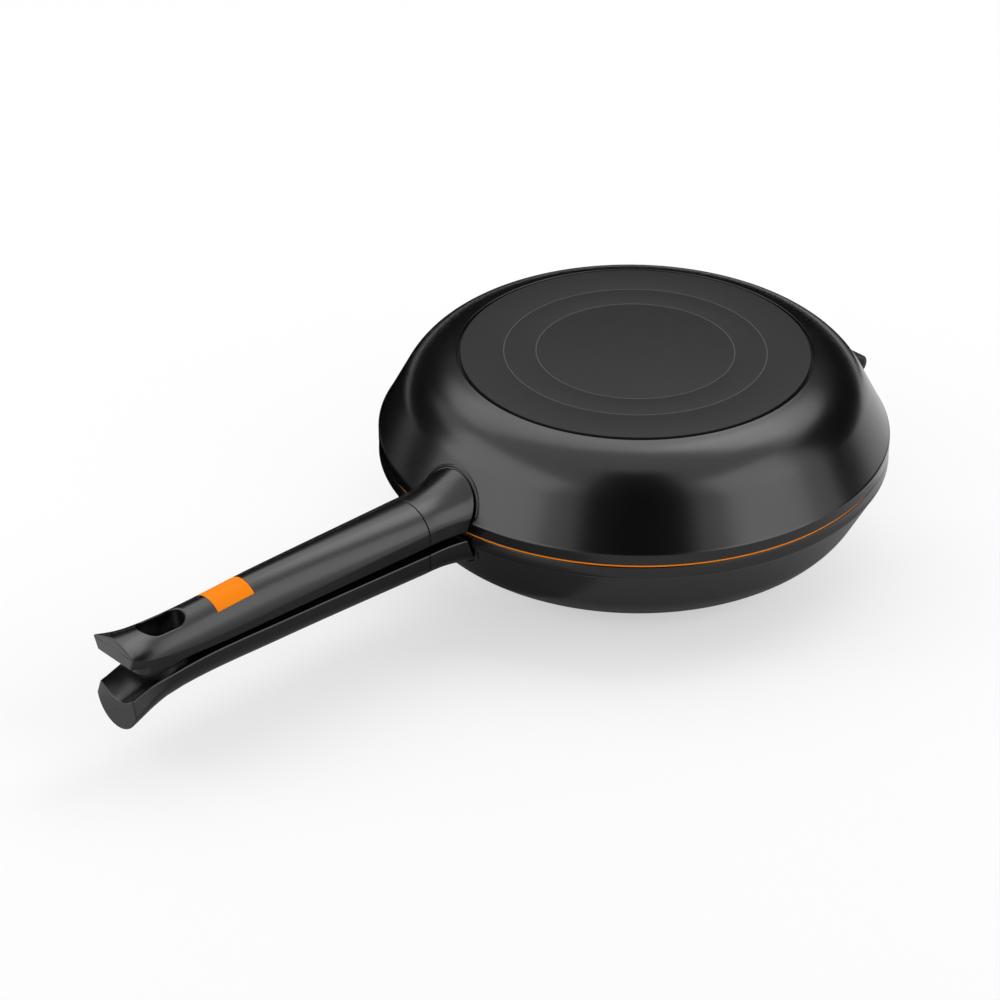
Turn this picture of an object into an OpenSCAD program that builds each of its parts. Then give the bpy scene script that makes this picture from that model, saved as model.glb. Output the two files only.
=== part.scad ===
// Double sided flip pan: two hinged frying pans that close mouth to mouth.
// Origin: centre of the lower pan's base, on the face it stands on. +Z is up,
// both handles point along -X and the hinge is on the +X side.
// Both pans are drawn in a half frame, with z = 0 on the seam plane and +z
// away from it. The upper pan is lifted to the seam and the lower one mirrored.

/* [Pans] */
// Outer radius of the rims
rim_r = 124; // [110:1:150]
// Height of one pan, from its base to the seam plane
pan_h = 45.5; // [42:0.5:55]
// Radius of the flat base inside the rounded shoulder
base_flat_r = 82.6; // [76:0.2:86]
// Radius of the rounded shoulder between base and wall
shoulder_r = 34; // [28:0.5:35]
// Thickness of the cast wall
wall_t = 3.2; // [2.5:0.1:4]
// Thickness of the cast base
base_t = 5; // [4.2:0.1:6]
// Height of the upright rim band
rim_band_h = 6.5; // [6:0.1:8]
// Width of the rim's flat sealing face
rim_w = 6; // [5:0.1:8]
// Step from the wall out to the rim band
rim_step = 0.4; // [0.2:0.1:1]

/* [Base disc] */
// Radius of the steel disc set in the base
disc_r = 84.2; // [70:0.2:84.2]
// Thickness of the disc
disc_t = 2; // [1.6:0.1:2.4]
// How far the disc stands out of the cast base
disc_proud = 0.3; // [0.2:0.1:0.6]
// Width of the open groove round the disc
disc_groove = 1; // [0.3:0.1:1.2]
// Radius of the outer turned ring on the disc
ring_outer_r = 63.2; // [56:0.2:66]
// Radius of the inner turned ring on the disc
ring_inner_r = 47.7; // [40:0.2:52]
// Width of a turned ring
ring_w = 0.6; // [0.3:0.1:1]
// Depth of a turned ring
ring_depth = 0.15; // [0.1:0.05:0.3]

/* [Seal] */
// Height of the seal's visible lip
seal_lip_h = 0.9; // [0.6:0.1:1.5]
// Distance of the upper rim above the seam plane
upper_rim_lift = 0.7; // [0.6:0.1:1]
// Open line between the seal and the lower rim
seal_gap = 0.4; // [0.3:0.1:0.6]
// Width of the seal's tongue in the rim groove
tongue_w = 2; // [1.5:0.1:2.6]
// Height of the seal's tongue
tongue_h = 2.5; // [2:0.1:3]
// How far the lip stays inside the rim's edge
seal_inset = 0.4; // [0.2:0.1:0.8]

/* [Handles] */
// Distance from the rim to the joint of ferrule and grip
ferrule_reach = 22; // [18:0.5:26]
// Length of the grip, from that joint to its inner tip
grip_len = 169; // [160:1:180]
// Half width of the grip at the ferrule
grip_root_w = 15.6; // [15:0.1:17]
// Half width of the grip in the hand
grip_mid_w = 13.6; // [13:0.1:15]
// Half width of the grip at the hanging slot
grip_slot_w = 12.7; // [12.4:0.1:14]
// Half width of the grip at its end face
grip_tip_w = 14.2; // [13:0.1:15]
// How much narrower the end face is along its inner edge
tip_draft = 2.2; // [0.5:0.1:2.5]
// Half of the gap between the two inner faces at the ferrule
gap_root = 2.2; // [2:0.1:3]
// Half of that gap in the hand
gap_mid = 1.6; // [1.5:0.1:2.4]
// How far the inner face has turned away from the seam at the slot's outer end
slot_rise = 2.6; // [1:0.1:3]
// How far it has turned away at the end face
tip_rise = 6.6; // [4:0.1:7]
// Height of the straight side band at the ferrule
band_root = 6.8; // [6:0.1:7.5]
// Height of the side band at the hanging slot
band_slot = 4.2; // [3.5:0.1:5]
// Height of the upper grip's side band at its end face
upper_band_tip = 5.2; // [4:0.1:6]
// Height of the lower grip's side band at its end face
lower_band_tip = 7; // [4:0.1:8]
// Top of the upper grip above the seam, at the ferrule
upper_root_top = 19.4; // [19:0.1:21]
// Top of the upper grip in the hand
upper_mid_top = 19.6; // [19:0.1:21]
// Top of the upper grip at the hanging slot
upper_slot_top = 17.6; // [17.2:0.1:19]
// Top of the upper grip at its tip
upper_tip_top = 19.2; // [18.5:0.1:22]
// Depth of the lower grip below the seam, at the ferrule
lower_root_top = 18; // [18:0.1:20]
// Depth of the lower grip in the hand
lower_mid_top = 17.4; // [17:0.1:20]
// Depth of the lower grip at the hanging slot
lower_slot_top = 18.6; // [18:0.1:20]
// Depth of the lower grip at its tip
lower_tip_top = 26.6; // [22:0.1:28]
// Slant of the tail's end face
tail_slant = 2; // [0:1:15]
// Lead of the dome over the side band, as an angle
dome_lead = 14; // [8:1:20]
// Chamfer along the inner face
inner_chamfer = 0.8; // [0.4:0.1:1.2]

/* [Ferrules] */
// Extra half width where the ferrule meets the pan
flare_w = 5; // [3:0.1:6]
// Extra height where the ferrule meets the pan
flare_h = 6; // [4:0.1:7]
// Length of that flare
flare_len = 24; // [18:1:28]
// How far the ferrule reaches in over the pan's wall
ferrule_lap = 14; // [10:1:18]
// Open line between ferrule and pan, and ferrule and grip
joint_line = 0.2; // [0.1:0.05:0.4]

/* [Fixings] */
// Height of the tie screw above the seam plane
screw_z = 10.4; // [10:0.1:11]
// Radius of the tie screw
screw_r = 2.5; // [2:0.1:3]
// Radius of the tie screw's head
screw_head_r = 4; // [3.6:0.1:4.2]
// Length of the tie screw's head
screw_head_l = 4; // [3:0.1:5]
// Radius of the washer under the head
washer_r = 4.6; // [4.4:0.1:4.8]
// Thickness of the washer
washer_t = 1; // [0.8:0.1:1.5]
// Radius of the key socket in the head
socket_r = 2; // [1.5:0.1:2.4]
// Depth of the key socket in the head
socket_depth = 2; // [1:0.5:2.5]
// Least thickness of the plug that closes the screw's bore towards the slot
plug_t = 2; // [1.5:0.5:3]
// Radius of the pan's cast boss inside the ferrule
boss_r = 6; // [5.6:0.1:6.6]
// How far the boss stays back from the grip
boss_back = 4; // [3:0.5:6]
// Depth of the thread in the boss
thread_depth = 16; // [10:1:18]
// Room left past the end of the tie screw
thread_room = 1; // [0.5:0.5:2]
// Loose fit round screws, washers, magnets and badges
fit = 0.05; // [0.04:0.01:0.1]

/* [Tail] */
// Distance from the grip's inner tip to the slot's centre
slot_from_tip = 25.7; // [24:0.1:28]
// Length of the hanging slot
slot_l = 23.5; // [20:0.5:26]
// Width of the hanging slot
slot_w = 13.5; // [12:0.5:15]
// Width of the bevel round the slot's mouth
slot_bevel = 1; // [0.6:0.1:1.4]
// Distance from the slot's centre back to where the tail starts to flare
flare_back = 17.6; // [15:0.2:20]
// Distance from the grip's inner tip to the end of the boss under the upper tail
tail_boss_back = 6; // [4:0.5:8]
// How far that boss stays inside the grip's sides
tail_boss_inset = 0.6; // [0.5:0.1:1]
// How far that boss stands out of the straight inner face
tail_boss_proud = 0.2; // [0.1:0.1:0.5]
// How far that boss runs up into the grip
tail_boss_root = 1.5; // [1:0.5:2]
// Radius of that boss's corners
tail_boss_r = 6; // [3:0.5:8]
// Depth of the hollow across the lower tail
saddle_depth = 4.2; // [1:0.1:4.5]

/* [Badge and magnets] */
// Distance from the grip's inner tip to the badge's centre
badge_from_tip = 61.5; // [58:0.5:70]
// Length of the badge
badge_l = 20.6; // [16:0.2:24]
// Half width of the badge
badge_w = 8.4; // [6:0.2:9]
// Thickness of the badge along its edges
badge_t = 0.9; // [0.7:0.1:1.2]
// How far the badge stands out of the grip
badge_proud = 0.05; // [0.02:0.01:0.2]
// Distance from the grip's inner tip to the magnets
magnet_from_tip = 88; // [80:1:100]
// Radius of a magnet
magnet_r = 5; // [4:0.5:6]
// Thickness of a magnet
magnet_t = 3; // [2:0.5:4]

/* [Hinge] */
// Distance from the pads' faces out to the hinge axis
hinge_out = 6.8; // [6.6:0.1:8]
// How far the hinge pads stand out of the rims
pad_out = 1.2; // [1:0.1:2]
// Half width of the hinge
hinge_half_w = 28; // [24:1:34]
// Half width of the middle knuckle
knuckle_half_w = 14; // [10:0.5:16]
// Side gap between knuckle and ears
side_gap = 0.3; // [0.3:0.05:0.5]
// Radius of the knuckles
knuckle_r = 5; // [4.5:0.1:5]
// Thickness of the bracket plates
plate_t = 1.4; // [1:0.1:1.4]
// Distance of the bracket plates from the seam plane
plate_lift = 1.2; // [1.1:0.1:1.6]
// Radius of the hinge pin
pin_r = 2; // [1.5:0.1:2.2]
// Radius left in the pin's clip groove
pin_neck_r = 1.5; // [1:0.1:1.5]
// Radial running clearance of the pin
pin_clear = 0.05; // [0.03:0.01:0.08]
// Radius of the pin's head
pin_head_r = 3.2; // [3:0.1:3.4]
// Thickness of the pin's head and of its clip
pin_head_t = 1.2; // [1:0.1:1.5]
// Radius of the bracket screws
bracket_screw_r = 1.3; // [1:0.1:1.4]
// Length of the bracket screws
bracket_screw_l = 6; // [4.5:0.1:6]
// Distance of the lower bracket's screws from the middle
lower_screw_y = 7.5; // [5:0.5:8]
// Distance of the upper bracket's screws from the middle
upper_screw_y = 21; // [18.5:0.5:22]

/* [Hidden] */
$fn = 96;

eps = 0.01;
over = 60;
// Least run of the straight wall under the bend, and its least slope inside
least_run = 1;
least_slope = 0.5;

// Pan profile: the shoulder's bend stays inside the wall it blends into
bend_r = min(shoulder_r, rim_r - rim_step - base_flat_r - least_run);
shoulder_z = pan_h - disc_proud - bend_r;
wall_foot = [rim_r - rim_step, rim_band_h];
foot_run = wall_foot - [base_flat_r, shoulder_z];
lean = atan2(foot_run[1], foot_run[0]) + acos(bend_r / norm(foot_run));
arc_step = 5;
lower_rim_drop = seal_lip_h + seal_gap - upper_rim_lift;

// Grip stations, as distances from the pan axis
grip_start = rim_r + ferrule_reach;
grip_end = grip_start + grip_len;
grip_mid = grip_start + 0.5 * grip_len;
slot_mid = grip_end - slot_from_tip;
slot_out = slot_mid + slot_l / 2;
flare_from = slot_mid - flare_back;
ferrule_in = rim_r - ferrule_lap;

// Screw and boss
boss_end = grip_start - boss_back;
seat_a = slot_mid - slot_l / 2 - screw_head_l - washer_t - plug_t;

// Hinge
pad_x = rim_r + pad_out;
hinge_x = pad_x + hinge_out;
ear_in = knuckle_half_w + side_gap;

// Each grip as [tops, side bands, depth of the hollow across its tail]
upper_form = [
    [[grip_start, upper_root_top], [grip_mid, upper_mid_top], [slot_mid, upper_slot_top],
        [grip_end, upper_tip_top]],
    [[grip_start, band_root], [slot_mid, band_slot], [grip_end, upper_band_tip]], 0];
lower_form = [
    [[grip_start, lower_root_top], [grip_mid, lower_mid_top], [slot_mid, lower_slot_top],
        [grip_end, lower_tip_top]],
    [[grip_start, band_root], [slot_mid, band_slot], [grip_end, lower_band_tip]], saddle_depth];
grip_widths = [[grip_start, grip_root_w], [grip_mid, grip_mid_w], [slot_mid, grip_slot_w],
    [grip_end, grip_tip_w]];
inner_faces = [[grip_start, gap_root], [grip_mid, gap_mid], [flare_from, gap_mid],
    [slot_out, gap_mid + slot_rise], [grip_end, gap_mid + tip_rise]];

// ---- smooth values along the grip ----

function held(t) = min(1, max(0, t));
function ease(t) = let (s = held(t)) s * s * (3 - 2 * s);

// Slope of a knot list at knot i
function knot_slope(k, i) =
    let (lo = max(0, i - 1), hi = min(len(k) - 1, i + 1))
    (k[hi][1] - k[lo][1]) / (k[hi][0] - k[lo][0]);

// Smooth curve through a knot list [[place, value], ...]
function curve_at(k, x) =
    let (
        i = max([for (j = [0 : len(k) - 2]) x >= k[j][0] ? j : 0]),
        span = k[i + 1][0] - k[i][0],
        t = held((x - k[i][0]) / span),
        rise = k[i + 1][1] - k[i][1],
        m0 = knot_slope(k, i) * span,
        m1 = knot_slope(k, i + 1) * span
    )
    k[i][1] + t * m0 + t * t * (3 * rise - 2 * m0 - m1) + t * t * t * (m0 + m1 - 2 * rise);

function root_share(a) = pow(1 - held((a - ferrule_in) / flare_len), 2);
function half_w(a) = curve_at(grip_widths, a) + flare_w * root_share(a);
function inner_z(a) = curve_at(inner_faces, a);
function shoulder_at(form, a) = inner_z(a) + curve_at(form[1], a);
function top_z(form, a) = curve_at(form[0], a) + flare_h * root_share(a);

// How far distance a is along the tail, from 0 at the slot's middle to 1 at the end face
function tail_share(a) = ease((a - slot_mid) / (grip_end - slot_mid));

// Height of the dome over the seam at distance a and offset y
function dome_z(form, a, y) =
    let (s = shoulder_at(form, a), c = min(1, abs(y) / half_w(a)) * cos(dome_lead))
    s + (top_z(form, a) - s) * (sqrt(1 - c * c) - sin(dome_lead)) / (1 - sin(dome_lead));

dome_steps = 20;
dome_angles = [for (i = [0 : dome_steps]) 180 - dome_lead - i * (180 - 2 * dome_lead) / dome_steps];

// One cross-section as [y, z]: over the dome, down the drafted side band, then
// back along the inner face, which is hollowed in the middle of the tail
function outline(form, a) =
    let (
        w = half_w(a), z0 = inner_z(a), s = shoulder_at(form, a), h = top_z(form, a) - s,
        foot_w = w - tip_draft * tail_share(a), flat = foot_w - inner_chamfer, sag = form[2] * tail_share(a)
    )
    concat(
        [for (t = dome_angles)
            [w * cos(t) / cos(dome_lead), s + h * (sin(t) - sin(dome_lead)) / (1 - sin(dome_lead))]],
        [[foot_w, z0 + inner_chamfer]],
        [for (u = [1 : -0.25 : -1]) [u * flat, z0 + sag * (1 - u * u)]],
        [[-foot_w, z0 + inner_chamfer]]
    );

function station(form, a) =
    [for (p = outline(form, a)) [-a - (p[1] - inner_z(a)) * tan(tail_slant) * tail_share(a), p[0], p[1]]];

// Closed skin through rings of equal length
module loft(rings) {
    n = len(rings[0]);
    m = len(rings);
    points = [for (r = rings) for (p = r) p];
    sides = [for (i = [0 : m - 2]) for (j = [0 : n - 1])
        let (k = (j + 1) % n)
        for (f = [[i * n + j, (i + 1) * n + j, (i + 1) * n + k], [i * n + j, (i + 1) * n + k, i * n + k]]) f];
    caps = [[for (j = [0 : n - 1]) j], [for (j = [n - 1 : -1 : 0]) (m - 1) * n + j]];
    polyhedron(points, concat(sides, caps), convexity = 6);
}

// ---- half frame placement ----

module on_upper() {
    translate([0, 0, pan_h]) children();
}

module on_lower() {
    translate([0, 0, pan_h]) mirror([0, 0, 1]) children();
}

// ---- pan ----

function outer_side(grow) = concat(
    [for (t = [90 : -arc_step : lean + arc_step / 2])
        [base_flat_r + (bend_r + grow) * cos(t), shoulder_z + (bend_r + grow) * sin(t)]],
    [[base_flat_r + (bend_r + grow) * cos(lean), shoulder_z + (bend_r + grow) * sin(lean)],
        wall_foot + [grow * cos(lean), grow * sin(lean)],
        [rim_r + grow, rim_band_h - rim_step + grow]]
);

module pan_core(rim_z) {
    floor_z = pan_h - base_t;
    in_r = bend_r - wall_t;
    in_foot = rim_r - rim_w;
    wall_in = wall_foot - wall_t * [cos(lean), sin(lean)];
    // A steep wall thickens towards the rim instead of running past it
    meet_z = wall_in[1] + (wall_in[0] - in_foot) / max(tan(lean), least_slope);
    start = asin(min(1, (floor_z - shoulder_z) / in_r));
    rotate_extrude(convexity = 6) difference() {
        polygon(concat([[0, shoulder_z + bend_r]], outer_side(0), [[rim_r, rim_z], [0, rim_z]]));
        polygon(concat([[0, floor_z]],
            [for (i = [0 : 12]) let (t = start + (lean - start) * i / 12)
                [base_flat_r + in_r * cos(t), shoulder_z + in_r * sin(t)]],
            [[in_foot, meet_z], [in_foot, rim_z - over], [0, rim_z - over]]));
    }
}

module cast_pan(rim_z, screw_y) {
    difference() {
        union() {
            pan_core(rim_z);
            handle_boss();
            hinge_pad(rim_z);
        }
        translate([0, 0, pan_h - disc_t]) cylinder(r = disc_r + disc_groove, h = over);
        translate([thread_depth - boss_end, 0, screw_z]) rotate([0, -90, 0])
            cylinder(r = screw_r + fit, h = over);
        bracket_screw_places(screw_y) cylinder(r = bracket_screw_r + fit, h = over, center = true);
    }
}

// Cast stub that carries the handle inside the ferrule
module handle_boss() {
    difference() {
        translate([-rim_r + rim_w, 0, screw_z]) rotate([0, -90, 0])
            cylinder(r = boss_r, h = boss_end - rim_r + rim_w);
        pan_inside();
    }
}

// What a boss must not reach into: everything inside the wall's middle
module pan_inside() {
    mid_r = bend_r - wall_t / 2;
    mid_foot = wall_foot - wall_t / 2 * [cos(lean), sin(lean)];
    rotate_extrude() polygon([[0, -over], [0, shoulder_z],
        [base_flat_r + mid_r * cos(lean), shoulder_z + mid_r * sin(lean)],
        mid_foot, [mid_foot[0], -over]]);
}

// Flat pad on the rim that the hinge bracket is screwed to
module hinge_pad(rim_z) {
    top = rim_band_h - rim_step;
    difference() {
        translate([rim_r - rim_w, -hinge_half_w, rim_z])
            cube([pad_x - rim_r + rim_w, 2 * hinge_half_w, top - rim_z]);
        translate([0, 0, -over]) cylinder(r = rim_r - rim_w / 2, h = 2 * over);
    }
}

module base_disc() {
    difference() {
        translate([0, 0, pan_h - disc_t]) cylinder(r = disc_r, h = disc_t);
        for (r = [ring_inner_r, ring_outer_r]) translate([0, 0, pan_h - ring_depth]) difference() {
            cylinder(r = r + ring_w / 2, h = over);
            translate([0, 0, -eps]) cylinder(r = r - ring_w / 2, h = over);
        }
    }
}

// ---- handle ----

ferrule_stations = [for (i = [0 : 11]) ferrule_in + (grip_start - joint_line - ferrule_in) * i / 11];
grip_steps = 34;
grip_stations = [for (i = [0 : grip_steps]) grip_start + grip_len * i / grip_steps];

module ferrule(form) {
    difference() {
        loft([for (a = ferrule_stations) station(form, a)]);
        rotate_extrude() polygon(concat([[0, over], [base_flat_r, over]], outer_side(joint_line),
            [[rim_r + joint_line, -over], [0, -over]]));
        translate([0, 0, screw_z]) rotate([0, -90, 0]) {
            cylinder(r = boss_r + fit, h = boss_end + fit);
            cylinder(r = screw_r + fit, h = grip_start + eps);
        }
    }
}

module slot_prism(grow) {
    run = slot_l - slot_w;
    for (s = [-1, 1]) translate([-slot_mid + s * run / 2, 0, 0])
        cylinder(r = slot_w / 2 + grow, h = over);
    translate([-slot_mid - run / 2, -slot_w / 2 - grow, 0]) cube([run, slot_w + 2 * grow, over]);
}

// Bevel round the slot's mouth, sunk from the dome's height at the slot's side
module slot_mouth(form) {
    rim_z = dome_z(form, slot_mid, slot_w / 2 + slot_bevel);
    translate([0, 0, rim_z]) slot_prism(slot_bevel);
}

module tie_bore() {
    translate([-grip_start + over, 0, screw_z]) rotate([0, -90, 0])
        cylinder(r = screw_r + fit, h = slot_mid - grip_start + over);
    translate([-seat_a, 0, screw_z]) rotate([0, -90, 0])
        cylinder(r = washer_r + fit, h = slot_mid - seat_a);
}

module magnet_pocket() {
    translate([magnet_from_tip - grip_end, 0, -eps])
        cylinder(r = magnet_r + fit, h = magnet_face() + magnet_t + fit);
}

function magnet_face() = inner_z(grip_end - magnet_from_tip) + fit;

// Flat floor under the badge, at its own thickness below the badge's lowest edge
function badge_floor(form) =
    let (mid = grip_end - badge_from_tip)
    min([for (s = [-1, 1]) dome_z(form, mid + s * badge_l / 2, badge_w)]) - badge_t;

// Inlay with a flat foot and a face that follows the dome
module badge(form) {
    mid = grip_end - badge_from_tip;
    steps = 8;
    loft([for (i = [0 : steps]) let (a = mid - badge_l / 2 + badge_l * i / steps) concat(
        [for (j = [0 : steps]) let (y = -badge_w + 2 * badge_w * j / steps)
            [-a, y, dome_z(form, a, y) + badge_proud]],
        [[-a, badge_w, badge_floor(form)], [-a, -badge_w, badge_floor(form)]])]);
}

module badge_pocket(form) {
    translate([badge_from_tip - grip_end - badge_l / 2 - fit, -badge_w - fit, badge_floor(form) - fit])
        cube([badge_l + 2 * fit, 2 * (badge_w + fit), over]);
}

module grip_body(form) {
    difference() {
        loft([for (a = grip_stations) station(form, a)]);
        translate([0, 0, -eps]) slot_prism(0);
        slot_mouth(form);
        tie_bore();
        magnet_pocket();
    }
}

// Boss under the upper tail: it carries the straight inner face on past the slot
module tail_boss() {
    foot = gap_mid - tail_boss_proud;
    end = grip_end - tail_boss_back;
    half = grip_slot_w - tail_boss_inset;
    rise = inner_z(end) + tail_boss_root - foot;
    difference() {
        union() {
            for (s = [-1, 1]) translate([tail_boss_r - end, s * (half - tail_boss_r), foot])
                cylinder(r = tail_boss_r, h = rise);
            translate([-end, tail_boss_r - half, foot]) cube([tail_boss_r, 2 * (half - tail_boss_r), rise]);
            translate([tail_boss_r - end, -half, foot]) cube([end - tail_boss_r - flare_from, 2 * half, rise]);
        }
        translate([0, 0, -eps]) slot_prism(0);
        tie_bore();
    }
}

module upper_grip_solid() {
    union() {
        difference() {
            grip_body(upper_form);
            badge_pocket(upper_form);
        }
        tail_boss();
    }
}

module tie_screw() {
    translate([-seat_a - washer_t, 0, screw_z]) rotate([0, -90, 0]) difference() {
        cylinder(r = screw_head_r, h = screw_head_l);
        translate([0, 0, screw_head_l - socket_depth]) cylinder(r = socket_r, h = over, $fn = 6);
    }
    translate([-seat_a - washer_t, 0, screw_z]) rotate([0, 90, 0])
        cylinder(r = screw_r, h = seat_a + washer_t - boss_end + thread_depth - thread_room);
}

module washer() {
    translate([-seat_a, 0, screw_z]) rotate([0, -90, 0]) difference() {
        cylinder(r = washer_r, h = washer_t);
        translate([0, 0, -eps]) cylinder(r = screw_r + fit, h = over);
    }
}

// Plug behind the screw's head, flush with the slot's end wall
module screw_plug() {
    from = seat_a + washer_t + screw_head_l + fit;
    difference() {
        translate([-from, 0, screw_z]) rotate([0, -90, 0]) cylinder(r = washer_r, h = slot_mid - from);
        slot_prism(0);
    }
}

module magnet() {
    translate([magnet_from_tip - grip_end, 0, magnet_face()]) cylinder(r = magnet_r, h = magnet_t);
}

// ---- seal ----

module seal() {
    inner = rim_r - rim_w + seal_inset;
    outer = rim_r - seal_inset;
    mid = (inner + outer) / 2;
    top = upper_rim_lift;
    rotate_extrude(convexity = 4) polygon([
        [inner, top - seal_lip_h], [outer, top - seal_lip_h], [outer, top],
        [mid + tongue_w / 2, top], [mid + tongue_w / 2, top + tongue_h],
        [mid - tongue_w / 2, top + tongue_h], [mid - tongue_w / 2, top], [inner, top]]);
}

module seal_groove() {
    mid = rim_r - rim_w / 2;
    translate([0, 0, upper_rim_lift - over]) difference() {
        cylinder(r = mid + tongue_w / 2, h = over + tongue_h);
        translate([0, 0, -eps]) cylinder(r = mid - tongue_w / 2, h = over + tongue_h + 1);
    }
}

// ---- hinge ----

module bracket_screw_places(screw_y) {
    z = (plate_lift + rim_band_h) / 2;
    for (s = [-1, 1]) translate([pad_x + plate_t - bracket_screw_l, s * screw_y, z]) rotate([0, 90, 0])
        translate([0, 0, over / 2]) children();
}

module bracket_screw_heads(screw_y, grow) {
    z = (plate_lift + rim_band_h) / 2;
    for (s = [-1, 1]) translate([pad_x, s * screw_y, z]) rotate([0, 90, 0])
        cylinder(r1 = bracket_screw_r + grow, r2 = bracket_screw_r + plate_t * 0.8 + grow, h = plate_t);
}

module bracket_screws(screw_y) {
    z = (plate_lift + rim_band_h) / 2;
    bracket_screw_heads(screw_y, 0);
    for (s = [-1, 1]) translate([pad_x + plate_t - bracket_screw_l, s * screw_y, z]) rotate([0, 90, 0])
        cylinder(r = bracket_screw_r, h = bracket_screw_l - plate_t);
}

module bracket_plate(screw_y) {
    difference() {
        translate([pad_x, -hinge_half_w, plate_lift])
            cube([plate_t, 2 * hinge_half_w, rim_band_h - rim_step - plate_lift]);
        bracket_screw_heads(screw_y, fit);
    }
}

// Knuckle from y0 to y1 with its web back to the plate
module knuckle(y0, y1) {
    translate([hinge_x, y0, 0]) rotate([-90, 0, 0]) cylinder(r = knuckle_r, h = y1 - y0);
    translate([pad_x, y0, plate_lift]) cube([hinge_x - pad_x, y1 - y0, knuckle_r - plate_lift]);
}

module pin_bore(r) {
    translate([hinge_x, -over, 0]) rotate([-90, 0, 0]) cylinder(r = r, h = 2 * over);
}

module pin_end_recesses() {
    for (s = [-1, 1]) translate([hinge_x, s * (hinge_half_w - pin_head_t), 0]) rotate([-90 * s, 0, 0])
        cylinder(r = pin_head_r + pin_clear, h = over);
}

module upper_bracket() {
    difference() {
        union() {
            bracket_plate(upper_screw_y);
            knuckle(-knuckle_half_w, knuckle_half_w);
        }
        pin_bore(pin_r + pin_clear);
    }
}

module lower_bracket() {
    difference() {
        union() {
            bracket_plate(lower_screw_y);
            knuckle(ear_in, hinge_half_w);
            knuckle(-hinge_half_w, -ear_in);
        }
        pin_bore(pin_r + pin_clear);
        pin_end_recesses();
    }
}

// Pin with a head at -Y and a groove for the clip at +Y
module pin() {
    clip_y = hinge_half_w - pin_head_t;
    difference() {
        union() {
            translate([hinge_x, -hinge_half_w, 0]) rotate([-90, 0, 0]) cylinder(r = pin_r, h = 2 * hinge_half_w);
            translate([hinge_x, -hinge_half_w, 0]) rotate([-90, 0, 0]) cylinder(r = pin_head_r, h = pin_head_t);
        }
        translate([hinge_x, clip_y, 0]) rotate([-90, 0, 0]) difference() {
            cylinder(r = pin_head_r, h = pin_head_t / 2);
            translate([0, 0, -eps]) cylinder(r = pin_neck_r, h = over);
        }
    }
}

module clip() {
    clip_y = hinge_half_w - pin_head_t;
    translate([hinge_x, clip_y + fit, 0]) rotate([-90, 0, 0]) difference() {
        cylinder(r = pin_head_r, h = pin_head_t / 2 - 2 * fit);
        translate([0, 0, -eps]) cylinder(r = pin_neck_r + fit, h = over);
        translate([fit - pin_neck_r, 0, -eps]) cube([2 * (pin_neck_r - fit), over, over]);
    }
}

// ---- nodes ----

module lower_pan() { color([0.09, 0.09, 0.09]) on_lower() cast_pan(lower_rim_drop, lower_screw_y); }
module lower_base_disc() { color([0.25, 0.25, 0.25]) on_lower() base_disc(); }
module lower_ferrule() { color([0.12, 0.12, 0.12]) on_lower() ferrule(lower_form); }
module lower_grip() { color([0.07, 0.07, 0.07]) on_lower() grip_body(lower_form); }
module lower_tie_screw() { color([0.7, 0.7, 0.7]) on_lower() tie_screw(); }
module lower_washer() { color([0.75, 0.75, 0.75]) on_lower() washer(); }
module lower_screw_plug() { color([0.07, 0.07, 0.07]) on_lower() screw_plug(); }
module lower_magnet() { color([0.6, 0.6, 0.6]) on_lower() magnet(); }
module upper_pan() {
    color([0.1, 0.1, 0.1]) on_upper() difference() {
        cast_pan(upper_rim_lift, upper_screw_y);
        seal_groove();
    }
}
module upper_base_disc() { color([0.25, 0.25, 0.25]) on_upper() base_disc(); }
module upper_ferrule() { color([0.12, 0.12, 0.12]) on_upper() ferrule(upper_form); }
module upper_grip() { color([0.07, 0.07, 0.07]) on_upper() upper_grip_solid(); }
module upper_tie_screw() { color([0.7, 0.7, 0.7]) on_upper() tie_screw(); }
module upper_washer() { color([0.75, 0.75, 0.75]) on_upper() washer(); }
module upper_screw_plug() { color([0.07, 0.07, 0.07]) on_upper() screw_plug(); }
module upper_magnet() { color([0.6, 0.6, 0.6]) on_upper() magnet(); }
module upper_badge() { color([1, 0.5, 0]) on_upper() badge(upper_form); }
module rim_seal() { color([1, 0.45, 0]) on_upper() seal(); }
module lower_hinge_bracket() { color([0.14, 0.14, 0.14]) on_lower() lower_bracket(); }
module lower_bracket_screws() { color([0.6, 0.6, 0.6]) on_lower() bracket_screws(lower_screw_y); }
module upper_hinge_bracket() { color([0.14, 0.14, 0.14]) on_upper() upper_bracket(); }
module upper_bracket_screws() { color([0.6, 0.6, 0.6]) on_upper() bracket_screws(upper_screw_y); }
module hinge_pin() { color([0.7, 0.7, 0.7]) on_lower() pin(); }
module pin_clip() { color([0.3, 0.3, 0.3]) on_lower() clip(); }

lower_pan();
lower_base_disc();
lower_ferrule();
lower_grip();
lower_tie_screw();
lower_washer();
lower_screw_plug();
lower_magnet();
upper_pan();
upper_base_disc();
upper_ferrule();
upper_grip();
upper_tie_screw();
upper_washer();
upper_screw_plug();
upper_magnet();
upper_badge();
rim_seal();
lower_hinge_bracket();
lower_bracket_screws();
upper_hinge_bracket();
upper_bracket_screws();
hinge_pin();
pin_clip();
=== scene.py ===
"""Looks of the double sided flip pan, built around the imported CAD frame. Metres, +Z up.

The part frame has its origin under the lower base, its handles along -X and its hinge on the +X side.
Both halves are drawn in a half frame in millimetres: z = 0 on the seam plane and +z away from it.
"""
import math

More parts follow.
